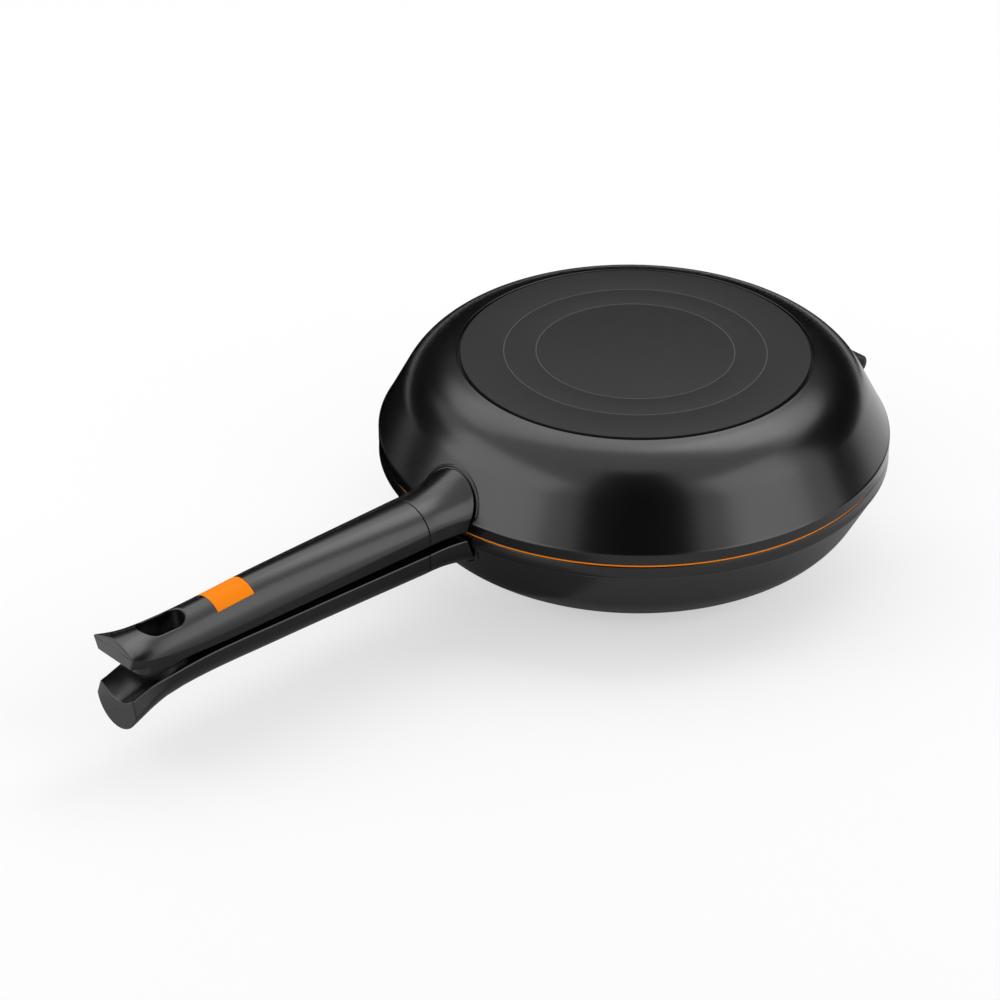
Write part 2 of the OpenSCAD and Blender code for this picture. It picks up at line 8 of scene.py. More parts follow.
import bmesh
import bpy
import numpy as np
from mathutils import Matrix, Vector


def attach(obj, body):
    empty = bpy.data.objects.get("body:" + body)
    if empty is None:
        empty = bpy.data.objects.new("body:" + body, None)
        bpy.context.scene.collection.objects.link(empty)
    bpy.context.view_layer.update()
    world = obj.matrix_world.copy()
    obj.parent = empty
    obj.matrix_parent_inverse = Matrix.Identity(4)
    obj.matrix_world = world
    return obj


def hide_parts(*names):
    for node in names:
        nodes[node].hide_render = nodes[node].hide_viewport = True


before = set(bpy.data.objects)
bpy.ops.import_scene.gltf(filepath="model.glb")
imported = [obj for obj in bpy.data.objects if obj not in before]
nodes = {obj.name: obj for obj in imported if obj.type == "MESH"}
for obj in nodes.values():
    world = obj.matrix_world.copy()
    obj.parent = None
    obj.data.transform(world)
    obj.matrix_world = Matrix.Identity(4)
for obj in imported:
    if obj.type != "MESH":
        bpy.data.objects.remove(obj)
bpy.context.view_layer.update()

MM = 0.001

# ---- sizes, in millimetres, as in the part's source ----
RIM_R = 124.0
PAN_H = 45.5
BASE_FLAT_R = 82.6
SHOULDER_R = 34.0
WALL_T = 3.2
BASE_T = 5.0
RIM_BAND_H = 6.5
RIM_W = 6.0
RIM_STEP = 0.4
DISC_R = 84.2
DISC_T = 2.0
DISC_PROUD = 0.3
RING_RADII = (63.2, 47.7)
RIM_LIFTS = {"upper": 0.7, "lower": 0.6}
TONGUE_W = 2.0
TONGUE_H = 2.5

GRIP_START = 146.0
GRIP_LEN = 169.0
GRIP_END = GRIP_START + GRIP_LEN
GRIP_MID = GRIP_START + GRIP_LEN / 2
SLOT_MID = GRIP_END - 25.7
SLOT_L = 23.5
SLOT_W = 13.5
SLOT_OUT = SLOT_MID + SLOT_L / 2
FERRULE_IN = RIM_R - 14
FLARE_FROM = SLOT_MID - 17.6
TAIL_SLANT = math.tan(math.radians(2))
DOME_LEAD = math.radians(14)
GAP_ROOT, GAP_MID = 2.2, 1.6
SLOT_RISE, TIP_RISE = 2.6, 6.6
BAND_ROOT, BAND_SLOT = 6.8, 4.2
TIP_DRAFT = 2.2
INNER_CHAMFER = 0.8
TAIL_BOSS_BACK, TAIL_BOSS_INSET, TAIL_BOSS_PROUD, TAIL_BOSS_R = 6.0, 0.6, 0.2, 6.0
BADGE_MID = GRIP_END - 61.5
BADGE_L, BADGE_W, BADGE_PROUD = 20.6, 8.4, 0.05
SCREW_Z = 10.4
PLUG_FROM, PLUG_R = SLOT_MID - SLOT_L / 2 - 2, 4.6
MAGNET_MID, MAGNET_R, MAGNET_T = GRIP_END - 88, 5.0, 3.0
PAD_OUT = 1.2
HINGE_HALF_W = 28.0
GRIP_SLOT_W = 12.7

# ---- sizes, in millimetres, that follow the photograph more closely than the solids ----
DISC_GROOVE = 1.5
SEAL_OUT, SEAL_IN, SEAL_FOOT = RIM_R - 0.8, RIM_R - RIM_W + 0.4, -0.3
LOWER_BAND_LEAN = 0.75
JOINT_LINE = 0.35
FLARE_W, FLARE_H, FLARE_LEN = 7.0, 6.5, 32.0
UPPER_TIP_BAND = 6.2
UPPER_FLANK_FALL = 0.3

# ---- knots along the grip, as (distance from the pan's axis, value) ----
WIDTHS = [(GRIP_START, 15.6), (GRIP_MID, 13.6), (SLOT_MID, GRIP_SLOT_W), (GRIP_END, 14.2)]
INNER_FACES = [(GRIP_START, GAP_ROOT), (GRIP_MID, GAP_MID), (FLARE_FROM, GAP_MID),
               (SLOT_OUT, GAP_MID + SLOT_RISE), (GRIP_END, GAP_MID + TIP_RISE)]
# Each grip as (tops, side bands, depth of the hollow across its tail, fall of its tail's flanks)
FORMS = {
    "upper": ([(GRIP_START, 19.4), (GRIP_MID, 19.6), (SLOT_MID, 17.6), (GRIP_END, 19.2)],
              [(GRIP_START, BAND_ROOT), (SLOT_MID, BAND_SLOT), (GRIP_END, UPPER_TIP_BAND)],
              0.0, UPPER_FLANK_FALL),
    "lower": ([(GRIP_START, 18.0), (GRIP_MID, 17.4), (SLOT_MID, 18.6), (GRIP_END, 26.6)],
              [(GRIP_START, BAND_ROOT), (SLOT_MID, BAND_SLOT), (GRIP_END, 7.0)],
              4.2, 0.0),
}

# ---- photograph's camera ----
SENSOR_MM = 36.0
PHOTO_FOCAL_PX = 3500.0
PHOTO_SIZE_PX = 1000.0
PHOTO_ELEVATION = math.radians(30.9)
PHOTO_AZIMUTH = math.radians(-42.5)
PHOTO_DISTANCE = 1.6804
PHOTO_AIM_PX = (135.3, -149.9)
PHOTO_AIM = Vector((0.0, 0.0, 2 * PAN_H * MM))


def add_camera():
    ce, se = math.cos(PHOTO_ELEVATION), math.sin(PHOTO_ELEVATION)
    ca, sa = math.cos(PHOTO_AZIMUTH), math.sin(PHOTO_AZIMUTH)
    right = Vector((ca, sa, 0))
    forward = Vector((-sa * ce, ca * ce, -se))
    up = right.cross(forward)
    scale = PHOTO_DISTANCE / PHOTO_FOCAL_PX
    aside = PHOTO_AIM - right * PHOTO_AIM_PX[0] * scale + up * PHOTO_AIM_PX[1] * scale
    data = bpy.data.cameras.new("camera")
    data.sensor_fit = "HORIZONTAL"
    data.sensor_width = SENSOR_MM
    data.lens = SENSOR_MM * PHOTO_FOCAL_PX / PHOTO_SIZE_PX
    data.clip_start = 0.05
    data.clip_end = 30
    camera = bpy.data.objects.new("camera", data)
    camera.location = aside - forward * PHOTO_DISTANCE
    camera.rotation_euler = forward.to_track_quat("-Z", "Y").to_euler()
    bpy.context.scene.collection.objects.link(camera)
    bpy.context.scene.camera = camera


add_camera()


# ---- materials ----
COAT_BLACK = (0.003, 0.003, 0.0031)
DISC_BLACK = (0.008, 0.008, 0.0082)
RING_GREY = (0.07, 0.07, 0.07)
RING_LINE_W = 0.45
PEEL_STRENGTH = 0.35
CLOUD_SCALE = 45


def new_material(name, color, roughness, metallic=0.0):
    """A Principled material, its node tree and its shader node."""
    material = bpy.data.materials.new(name)
    material.use_nodes = True
    tree = material.node_tree
    shader = tree.nodes["Principled BSDF"]
    shader.inputs["Base Color"].default_value = (*color, 1)
    shader.inputs["Roughness"].default_value = roughness
    shader.inputs["Metallic"].default_value = metallic
    return material, tree, shader


def object_noise(tree, scale, detail=2.0):
    coords = tree.nodes.new("ShaderNodeTexCoord")
    noise = tree.nodes.new("ShaderNodeTexNoise")
    noise.inputs["Scale"].default_value = scale
    noise.inputs["Detail"].default_value = detail
    tree.links.new(coords.outputs["Object"], noise.inputs["Vector"])
    return noise


def add_bump(tree, shader, height, distance, strength):
    bump = tree.nodes.new("ShaderNodeBump")
    bump.inputs["Distance"].default_value = distance
    bump.inputs["Strength"].default_value = strength
    tree.links.new(height, bump.inputs["Height"])
    tree.links.new(bump.outputs["Normal"], shader.inputs["Normal"])


def mapped(tree, value, low, high):
    """Value, from 0 to 1, spread over low to high."""
    spread = tree.nodes.new("ShaderNodeMapRange")
    spread.inputs["To Min"].default_value = low
    spread.inputs["To Max"].default_value = high
    tree.links.new(value, spread.inputs["Value"])
    return spread.outputs["Result"]


def coated_material(name, color, roughness, grain, depth, specular, haze=0.03):
    """Black lacquer or plastic: fine orange-peel bump and a slightly varied gloss."""
    material, tree, shader = new_material(name, color, roughness)
    peel = object_noise(tree, grain, 3)
    add_bump(tree, shader, peel.outputs["Fac"], depth, PEEL_STRENGTH)
    cloud = object_noise(tree, CLOUD_SCALE)
    gloss = mapped(tree, cloud.outputs["Fac"], roughness - haze, roughness + haze)
    tree.links.new(gloss, shader.inputs["Roughness"])
    shader.inputs["Specular IOR Level"].default_value = specular
    return material


def math_node(tree, operation, *values):
    node = tree.nodes.new("ShaderNodeMath")
    node.operation = operation
    for socket, value in zip(node.inputs, values):
        if isinstance(value, (int, float)):
            socket.default_value = value
        else:
            tree.links.new(value, socket)
    return node.outputs[0]


def turned_rings(material, radii, width, plain, bright):
    """Fine lighter grey rings about the pan axis, coloured into a plain disc."""
    tree = material.node_tree
    shader = tree.nodes["Principled BSDF"]
    coords = tree.nodes.new("ShaderNodeTexCoord")
    parts = tree.nodes.new("ShaderNodeSeparateXYZ")
    tree.links.new(coords.outputs["Object"], parts.inputs["Vector"])
    x, y = parts.outputs["X"], parts.outputs["Y"]
    radius = math_node(tree, "SQRT", math_node(tree, "ADD", math_node(tree, "MULTIPLY", x, x),
                                               math_node(tree, "MULTIPLY", y, y)))
    near = None
    for ring in radii:
        off = math_node(tree, "ABSOLUTE", math_node(tree, "SUBTRACT", radius, ring * MM))
        inside = math_node(tree, "LESS_THAN", off, width / 2 * MM)
        near = inside if near is None else math_node(tree, "MAXIMUM", near, inside)
    mix = tree.nodes.new("ShaderNodeMix")
    mix.data_type = "RGBA"
    tree.links.new(near, mix.inputs["Factor"])
    mix.inputs["A"].default_value = (*plain, 1)
    mix.inputs["B"].default_value = (*bright, 1)
    tree.links.new(mix.outputs["Result"], shader.inputs["Base Color"])


pan_coating = coated_material("pan_coating", COAT_BLACK, 0.23, 2600, 0.00002, 0.6)
ferrule_black = coated_material("ferrule_black", COAT_BLACK, 0.25, 2600, 0.00002, 0.6)
grip_black = coated_material("grip_black", (0.003, 0.003, 0.003), 0.26, 1800, 0.00003, 0.6)
base_steel = coated_material("base_steel", DISC_BLACK, 0.55, 3200, 0.00008, 0.36)
turned_rings(base_steel, RING_RADII, RING_LINE_W, DISC_BLACK, RING_GREY)
hinge_black = coated_material("hinge_black", (0.008, 0.008, 0.008), 0.5, 2200, 0.0001, 0.4)
screw_steel, _, _ = new_material("screw_steel", (0.6, 0.6, 0.61), 0.3, 1.0)
clip_steel, _, _ = new_material("clip_steel", (0.05, 0.05, 0.052), 0.45, 1.0)
pin_blued, _, _ = new_material("pin_blued", (0.02, 0.02, 0.021), 0.5, 1.0)
magnet_nickel, _, _ = new_material("magnet_nickel", (0.62, 0.6, 0.56), 0.25, 1.0)
badge_orange, _, badge_shader = new_material("badge_orange", (1.0, 0.25, 0.0), 0.5)
seal_orange, _, seal_shader = new_material("seal_orange", (1.0, 0.26, 0.0), 0.6)
for orange in (badge_shader, seal_shader):
    orange.inputs["Specular IOR Level"].default_value = 0.1

MATERIAL_OF = {
    "pan": pan_coating, "base_disc": base_steel, "ferrule": ferrule_black, "grip": grip_black,
    "tie_screw": screw_steel, "washer": screw_steel, "screw_plug": grip_black, "magnet": magnet_nickel,
    "badge": badge_orange, "hinge_bracket": hinge_black, "bracket_screws": screw_steel,
    "rim_seal": seal_orange, "hinge_pin": pin_blued, "pin_clip": clip_steel,
}


def material_for(node):
    return MATERIAL_OF[node if node in MATERIAL_OF else node.split("_", 1)[1]]


def set_material(obj, material):
    obj.data.materials.clear()
    obj.data.materials.append(material)


for node_name, node_obj in nodes.items():
    set_material(node_obj, material_for(node_name))


# ---- mesh helpers ----

SHARP_DEG = 35.0
LATHE_STEPS = 360
WELD_M = 1e-7


def half_to_part(point, upper):
    """Half frame in millimetres to part frame in metres."""
    x, y, z = point
    return (x * MM, y * MM, (PAN_H + z) * MM if upper else (PAN_H - z) * MM)


def finish_mesh(name, points, faces, upper, material):
    """Mesh object from half frame points, smooth shaded with sharp edges kept."""
    mesh = bpy.data.meshes.new(name)
    mesh.from_pydata([half_to_part(p, upper) for p in points], [], faces)
    mesh.update()
    work = bmesh.new()
    work.from_mesh(mesh)
    bmesh.ops.remove_doubles(work, verts=work.verts, dist=WELD_M)
    bmesh.ops.recalc_face_normals(work, faces=work.faces)
    work.to_mesh(mesh)
    work.free()
    shade(mesh)
    obj = bpy.data.objects.new(name, mesh)
    bpy.context.scene.collection.objects.link(obj)
    set_material(obj, material)
    return obj


def shade(mesh):
    mesh.shade_smooth()
    mesh.set_sharp_from_angle(angle=math.radians(SHARP_DEG))


def hand_over(obj, side, node):
    """Rides obj on its half, in place of the CAD node."""
    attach(obj, side + "_half")
    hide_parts(side + node)


def arc(cx, cz, radius, start_deg, end_deg, step_deg=3.0):
    """Points of an arc in the (r, z) plane."""
    count = max(2, int(abs(end_deg - start_deg) / step_deg) + 1)
    angles = np.radians(np.linspace(start_deg, end_deg, count))
    return [(cx + radius * math.cos(t), cz + radius * math.sin(t)) for t in angles]


def lathe(name, outline, upper, material):
    """Closed outline of (r, z) turned about the pan axis; a point on the axis stays one point."""
    points, faces, rings = [], [], []
    for r, z in outline:
        first = len(points)
        if r == 0:
            points.append((0.0, 0.0, z))
            rings.append([first] * LATHE_STEPS)
            continue
        for k in range(LATHE_STEPS):
            t = 2 * math.pi * k / LATHE_STEPS
            points.append((r * math.cos(t), r * math.sin(t), z))
        rings.append(list(range(first, first + LATHE_STEPS)))
    count = len(outline)
    for i in range(count):
        low, high = rings[i], rings[(i + 1) % count]
        if low[0] == low[1] and high[0] == high[1]:
            continue
        for k in range(LATHE_STEPS):
            n = (k + 1) % LATHE_STEPS
            face = []
            for v in (low[k], low[n], high[n], high[k]):
                if v not in face:
                    face.append(v)
            faces.append(face)
    return finish_mesh(name, points, faces, upper, material)


# ---- pans ----
MOUTH_R = 0.35
MOUTH_DROP = 0.44
BAND_EDGE = 0.45
RIM_EDGE_R = 0.4
INNER_EDGE_R = 0.5
DISC_EDGE_R = 0.3
RING_DEPTH, RING_HALF_W, RING_FLOOR_HALF_W = 0.03, 0.3, 0.1
TONGUE_SIDE_ROOM, TONGUE_END_ROOM = 0.1, 0.2

SHOULDER_Z = PAN_H - DISC_PROUD - SHOULDER_R
WALL_FOOT = (RIM_R - RIM_STEP, RIM_BAND_H)
FOOT_RUN = (WALL_FOOT[0] - BASE_FLAT_R, WALL_FOOT[1] - SHOULDER_Z)
LEAN = math.atan2(FOOT_RUN[1], FOOT_RUN[0]) + math.acos(SHOULDER_R / math.hypot(*FOOT_RUN))
ARC_FOOT = (BASE_FLAT_R + SHOULDER_R * math.cos(LEAN), SHOULDER_Z + SHOULDER_R * math.sin(LEAN))


def pan_body(name, rim_z, upper):
    """Cast pan: rounded shoulder, leaning wall, upright rim band, groove round the base disc."""
    floor_z = PAN_H - BASE_T
    in_r = SHOULDER_R - WALL_T
    in_foot = RIM_R - RIM_W
    wall_in = (WALL_FOOT[0] - WALL_T * math.cos(LEAN), WALL_FOOT[1] - WALL_T * math.sin(LEAN))
    meet_z = wall_in[1] + (wall_in[0] - in_foot) / math.tan(LEAN)
    start = math.asin(min(1.0, (floor_z - SHOULDER_Z) / in_r))
    recess_r = DISC_R + DISC_GROOVE
    recess_z = PAN_H - DISC_T
    crest_z = SHOULDER_Z + SHOULDER_R

    # Base, the groove's rounded mouth, shoulder and wall
    outer = [(0.0, recess_z), (recess_r, recess_z)]
    outer += arc(recess_r + MOUTH_R, crest_z - MOUTH_DROP, MOUTH_R, 180, 84, 24)
    top_deg = math.degrees(math.acos((recess_r + MOUTH_R - BASE_FLAT_R) / SHOULDER_R))
    outer += arc(BASE_FLAT_R, SHOULDER_Z, SHOULDER_R, top_deg - 0.5, math.degrees(LEAN), 2.5)
    # Rim band, with a small step at its top; the lower one leans in towards the seam
    outer += [(WALL_FOOT[0] - 0.25, RIM_BAND_H + 0.45), (WALL_FOOT[0] - 0.02, RIM_BAND_H + 0.1)]
    outer += [(RIM_R - 0.18, RIM_BAND_H - 0.15), (RIM_R, RIM_BAND_H - BAND_EDGE)]
    lean = 0.0 if upper else LOWER_BAND_LEAN
    run = RIM_BAND_H - BAND_EDGE - rim_z - RIM_EDGE_R
    outer += [(RIM_R - lean * t * t, RIM_BAND_H - BAND_EDGE - t * run) for t in (0.25, 0.5, 0.75)]
    outer += arc(RIM_R - lean - RIM_EDGE_R, rim_z + RIM_EDGE_R, RIM_EDGE_R, 0, -90, 30)
    # Rim face, with the groove for the seal's tongue in the upper one, and the inside
    inner = []
    if upper:
        mid = RIM_R - RIM_W / 2
        inner += [(mid + TONGUE_W / 2, rim_z), (mid + TONGUE_W / 2, rim_z + TONGUE_H)]
        inner += [(mid - TONGUE_W / 2, rim_z + TONGUE_H), (mid - TONGUE_W / 2, rim_z)]
    inner += arc(in_foot + INNER_EDGE_R, rim_z + INNER_EDGE_R, INNER_EDGE_R, 270, 180, 30)
    inner += [(in_foot, meet_z - 0.4), (in_foot - 0.15, meet_z + 0.3)]
    inner += arc(BASE_FLAT_R, SHOULDER_Z, in_r, math.degrees(LEAN), math.degrees(start), 2.5)
    inner += [(0.0, floor_z)]
    return lathe(name, outer + inner, upper, pan_coating)


def base_disc(name, upper):
    """Steel disc with a rounded edge and two fine turned rings."""
    outline = [(0.0, PAN_H - DISC_T), (DISC_R, PAN_H - DISC_T)]
    outline += arc(DISC_R - DISC_EDGE_R, PAN_H - DISC_EDGE_R, DISC_EDGE_R, 0, 90, 18)
    for r in RING_RADII:
        outline += [(r + RING_HALF_W, PAN_H), (r + RING_FLOOR_HALF_W, PAN_H - RING_DEPTH),
                    (r - RING_FLOOR_HALF_W, PAN_H - RING_DEPTH), (r - RING_HALF_W, PAN_H)]
    outline += [(0.0, PAN_H)]
    return lathe(name, outline, upper, base_steel)


for side in ("upper", "lower"):
    hand_over(base_disc(side + "_disc_face", side == "upper"), side, "_base_disc")


def make_seal():
    """Silicone ring set back from the rims' outer edges, with its tongue in the upper rim's groove."""
    tongue_out = RIM_R - RIM_W / 2 + TONGUE_W / 2 - TONGUE_SIDE_ROOM
    tongue_in = RIM_R - RIM_W / 2 - TONGUE_W / 2 + TONGUE_SIDE_ROOM
    top = RIM_LIFTS["upper"]
    crest = top + TONGUE_H - TONGUE_END_ROOM
    outline = [(SEAL_IN, SEAL_FOOT), (SEAL_OUT, SEAL_FOOT), (SEAL_OUT, top), (tongue_out, top),
               (tongue_out, crest), (tongue_in, crest), (tongue_in, top), (SEAL_IN, top)]
    seal = lathe("seal_ring", outline, True, seal_orange)
    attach(seal, "upper_half")
    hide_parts("rim_seal")


make_seal()


# ---- values along the grip, at distance a from the pan's axis ----

def held(t):
    return min(1.0, max(0.0, t))


def ease(t):
    s = held(t)
    return s * s * (3 - 2 * s)


def knot_slope(knots, i):
    low, high = knots[max(0, i - 1)], knots[min(len(knots) - 1, i + 1)]
    return (high[1] - low[1]) / (high[0] - low[0])


def curve_at(knots, x):
    """Smooth curve through (place, value) knots, as the CAD draws it."""
    i = max(j for j in range(len(knots) - 1) if j == 0 or x >= knots[j][0])
    span = knots[i + 1][0] - knots[i][0]
    t = held((x - knots[i][0]) / span)
    rise = knots[i + 1][1] - knots[i][1]
    m0, m1 = knot_slope(knots, i) * span, knot_slope(knots, i + 1) * span
    return knots[i][1] + t * m0 + t * t * (3 * rise - 2 * m0 - m1) + t ** 3 * (m0 + m1 - 2 * rise)


def root_share(a):
    return (1 - held((a - FERRULE_IN) / FLARE_LEN)) ** 2


def half_w(a):
    return curve_at(WIDTHS, a) + FLARE_W * root_share(a)


def inner_z(a):
    return curve_at(INNER_FACES, a)


def shoulder_at(form, a):
    return inner_z(a) + curve_at(form[1], a)


def top_z(form, a):
    return curve_at(form[0], a) + FLARE_H * root_share(a)


def tail_share(a):
    """How far along the tail: 0 at the slot's middle, 1 at the end face."""
    return ease((a - SLOT_MID) / (GRIP_END - SLOT_MID))


def dome_share(form, a, u):
    """Share of the dome's height at share u of the half width.

    It is round, and partly bell shaped at the tail's end where the form's flanks fall.
    """
    c = u * math.cos(DOME_LEAD)
    lead = math.sin(DOME_LEAD)
    round_share = (math.sqrt(max(0.0, 1 - c * c)) - lead) / (1 - lead)
    bell_share = (1 + math.cos(math.pi * u)) / 2
    return round_share + form[3] * tail_share(a) * (bell_share - round_share)


def dome_z(form, a, y):
    s = shoulder_at(form, a)
    return s + (top_z(form, a) - s) * dome_share(form, a, min(1.0, abs(y) / half_w(a)))


def placed(a, y, z):
    """Half frame point of a section point, moved along by the tail's slant."""
    return (-a - (z - inner_z(a)) * TAIL_SLANT * tail_share(a), y, z)


FLOOR_POINTS = 17
CORNER_POINTS = 4
BAND_LIP = 0.35


def section(form, a, inset=0.0):
    """Closed outline [(y, z)] over the dome and back along the inner face, drawn in by inset.

    It ends with CORNER_POINTS, the FLOOR_POINTS of the inner face and CORNER_POINTS again.
    """
    w, z0, s = half_w(a), inner_z(a), shoulder_at(form, a)
    h = top_z(form, a) - s
    lead_deg = math.degrees(DOME_LEAD)
    sweep = [lead_deg, lead_deg + 1.2, lead_deg + 3] + list(np.linspace(lead_deg + 6, 90, 24))
    sweep += [180 - t for t in sweep[-2::-1]]
    points = []
    for t in np.radians(sweep[::-1]):
        u = math.cos(t) / math.cos(DOME_LEAD)
        points.append((w * u, s + h * dome_share(form, a, min(1.0, abs(u)))))
    c = INNER_CHAMFER
    draft = TIP_DRAFT * tail_share(a)
    foot_w = w - draft
    corner = [(w - draft * BAND_LIP / (s - z0 - c), s - BAND_LIP), (foot_w, z0 + c),
              (foot_w - 0.12 * c, z0 + 0.55 * c), (foot_w - 0.45 * c, z0 + 0.14 * c)]
    floor = [(u * (foot_w - c), floor_z(form, a, u)) for u in np.linspace(1, -1, FLOOR_POINTS)]
    points += corner + floor + [(-y, z) for y, z in corner[::-1]]
    return drawn_in(points, inset) if inset else points


def floor_z(form, a, u):
    """Inner face at distance a and share u of its half width, hollowed across the tail."""
    return inner_z(a) + form[2] * tail_share(a) * (1 - u * u)


def drawn_in(points, inset):
    """Outline moved inwards by inset along its own normals (the outline runs clockwise)."""
    p = np.array(points)
    along = np.roll(p, -1, axis=0) - np.roll(p, 1, axis=0)
    along /= np.linalg.norm(along, axis=1)[:, None]
    return [tuple(q) for q in p + inset * np.column_stack([along[:, 1], -along[:, 0]])]


# ---- skins, cutters and liners ----

def skin(rings, cap_start=True, cap_end=True):
    """Points and faces of a tube through rings of equal length."""
    count = len(rings[0])
    points = [p for ring in rings for p in ring]
    faces = []
    for i in range(len(rings) - 1):
        low, high = i * count, (i + 1) * count
        faces += [(low + k, low + (k + 1) % count, high + (k + 1) % count, high + k)
                  for k in range(count)]
    if cap_start:
        faces.append(list(range(count)))
    if cap_end:
        last = (len(rings) - 1) * count
        faces.append(list(range(last, last + count)))
    return points, faces


def closed_ring_skin(rings):
    """Points and faces of a ring shape: the last ring joins the first."""
    points, faces = skin(rings, False, False)
    count = len(rings[0])
    last = (len(rings) - 1) * count
    faces += [(last + k, last + (k + 1) % count, (k + 1) % count, k) for k in range(count)]
    return points, faces


def slot_outline(grow, per_end=40):
    """Stadium round the hanging slot: [(a, y, outward a, outward y)]."""
    half_run = (SLOT_L - SLOT_W) / 2
    radius = SLOT_W / 2
    result = []
    for centre, first in ((SLOT_MID + half_run, -90), (SLOT_MID - half_run, 90)):
        for k in range(per_end + 1):
            t = math.radians(first + 180 * k / per_end)
            ca, sa = math.cos(t), math.sin(t)
            result.append((centre + (radius + grow) * ca, (radius + grow) * sa, ca, sa))
    return result


def cut(obj, points, faces, upper):
    """Cuts the solid given by points and faces out of obj, for good."""
    cutter = finish_mesh("cutter", points, faces, upper, grip_black)
    mod = obj.modifiers.new("cut", "BOOLEAN")
    mod.operation = "DIFFERENCE"
    mod.solver = "EXACT"
    mod.object = cutter
    bake_modifiers(obj)
    bpy.data.objects.remove(cutter)


def bake_modifiers(obj):
    graph = bpy.context.evaluated_depsgraph_get()
    mesh = bpy.data.meshes.new_from_object(obj.evaluated_get(graph))
    obj.modifiers.clear()
    old = obj.data
    obj.data = mesh
    bpy.data.meshes.remove(old)


def combine(name, pieces, material):
    """One object out of several, which are used up."""
    work = bmesh.new()
    for piece in pieces:
        work.from_mesh(piece.data)
        bpy.data.objects.remove(piece)
    mesh = bpy.data.meshes.new(name)
    work.to_mesh(mesh)
    work.free()
    shade(mesh)
    obj = bpy.data.objects.new(name, mesh)
    bpy.context.scene.collection.objects.link(obj)
    set_material(obj, material)
    return obj


def even_normals(obj):
    mod = obj.modifiers.new("even_normals", "WEIGHTED_NORMAL")
    mod.keep_sharp = True
    return obj


# ---- grips ----

EDGE_R = 0.6
START_EDGE_R = 0.25
SLOT_FILLET = 0.9
SLOT_FOOT_R = 0.5
BOSS_FOOT_R = 0.8
BADGE_SOFT = 0.25
BADGE_DEPTH = 0.6
BADGE_POCKET = 0.9
JOINT_ROOM = 0.12
BOSS_OVERLAP = 1.5
RING_STEP, TAIL_RING_STEP = 2.0, 1.2
BRACKET_EDGE = 0.5
CUT_LOW, CUT_HIGH = -5, 60


def grip_body(form, upper):
    """Grip without its holes, with rounded edges at both ends."""
    def ring(a, inset=0.0):
        return [placed(a, y, z) for y, z in section(form, a, inset)]

    rings = [ring(GRIP_START + START_EDGE_R * (1 - math.cos(t)), START_EDGE_R * (1 - math.sin(t)))
             for t in np.radians(np.linspace(0, 90, 4))]
    body = np.concatenate([np.arange(GRIP_START + 1.5, FLARE_FROM, RING_STEP),
                           np.arange(FLARE_FROM, GRIP_END - EDGE_R - 0.5, TAIL_RING_STEP)])
    rings += [ring(a) for a in body]
    for t in np.radians(np.linspace(0, 90, 6)):
        rings.append(ring(GRIP_END - EDGE_R * (1 - math.sin(t)), EDGE_R * (1 - math.cos(t))))
    # End face, in rings that shrink to its middle
    end = section(form, GRIP_END, EDGE_R)
    mid = np.mean(end, axis=0)
    for share in (0.8, 0.55, 0.3, 0.1):
        rings.append([placed(GRIP_END, *(mid + share * (np.array(q) - mid))) for q in end])
    points, faces = skin(rings)
    return finish_mesh("grip", points, faces, upper, grip_black)


def prism(outline, z0, z1):
    return skin([[(-o[0], o[1], z) for o in outline] for z in (z0, z1)])


def slot_liner(form, upper):
    """Wall of the hanging slot, with a rounded mouth that follows the dome."""
    rings = []
    for a, y, na, ny in slot_outline(0.0):
        def at(offset, z):
            return (-(a + na * offset), y + ny * offset, z)

        def dome(offset):
            return dome_z(form, a + na * offset, y + ny * offset)

        # The upper slot opens into the boss under the tail, the lower one into the hollow
        u = min(1.0, abs(y) / (half_w(a) - TIP_DRAFT * tail_share(a) - INNER_CHAMFER))
        foot = GAP_MID - TAIL_BOSS_PROUD if upper else floor_z(form, a, u)
        profile = [at(SLOT_FILLET, foot), at(SLOT_FILLET, dome(SLOT_FILLET))]
        for t in np.radians(np.linspace(75, 0, 6)):
            offset = SLOT_FILLET * (1 - math.cos(t))
            profile.append(at(offset, dome(offset) - SLOT_FILLET * (1 - math.sin(t))))
        near = 0.3 * SLOT_FOOT_R
        profile += [at(0.0, foot + SLOT_FOOT_R), at(near, foot + near), at(SLOT_FOOT_R, foot)]
        rings.append(profile)
    points, faces = closed_ring_skin(rings)
    return finish_mesh("liner", points, faces, upper, grip_black)


def boss_outline(inset, per_corner=12):
    """Outline [(a, y)] of the boss round the upper slot, with two rounded corners."""
    end = GRIP_END - TAIL_BOSS_BACK - inset
    half = GRIP_SLOT_W - TAIL_BOSS_INSET - inset
    radius = TAIL_BOSS_R - inset
    outline = []
    for way, first in ((1, 90), (-1, 0)):
        for k in range(per_corner + 1):
            t = math.radians(first - 90 * k / per_corner)
            a = end - radius + radius * math.cos(t)
            outline.append((a, way * (half - radius) + radius * math.sin(t)))
    outline += [(FLARE_FROM, -half), (FLARE_FROM, half)]
    return outline


def tail_boss():
    """Boss round the upper slot, which fills the gap under the rising tail."""
    foot = GAP_MID - TAIL_BOSS_PROUD
    rings = []
    for t in np.radians(np.linspace(90, 0, 5)):
        z = foot + BOSS_FOOT_R * (1 - math.sin(t))
        rings.append([(-a, y, z) for a, y in boss_outline(BOSS_FOOT_R * (1 - math.cos(t)))])
    top = inner_z(GRIP_END - TAIL_BOSS_BACK) + BOSS_OVERLAP
    rings.append([(-a, y, top) for a, y in boss_outline(0.0)])
    points, faces = skin(rings)
    return finish_mesh("boss", points, faces, True, grip_black)


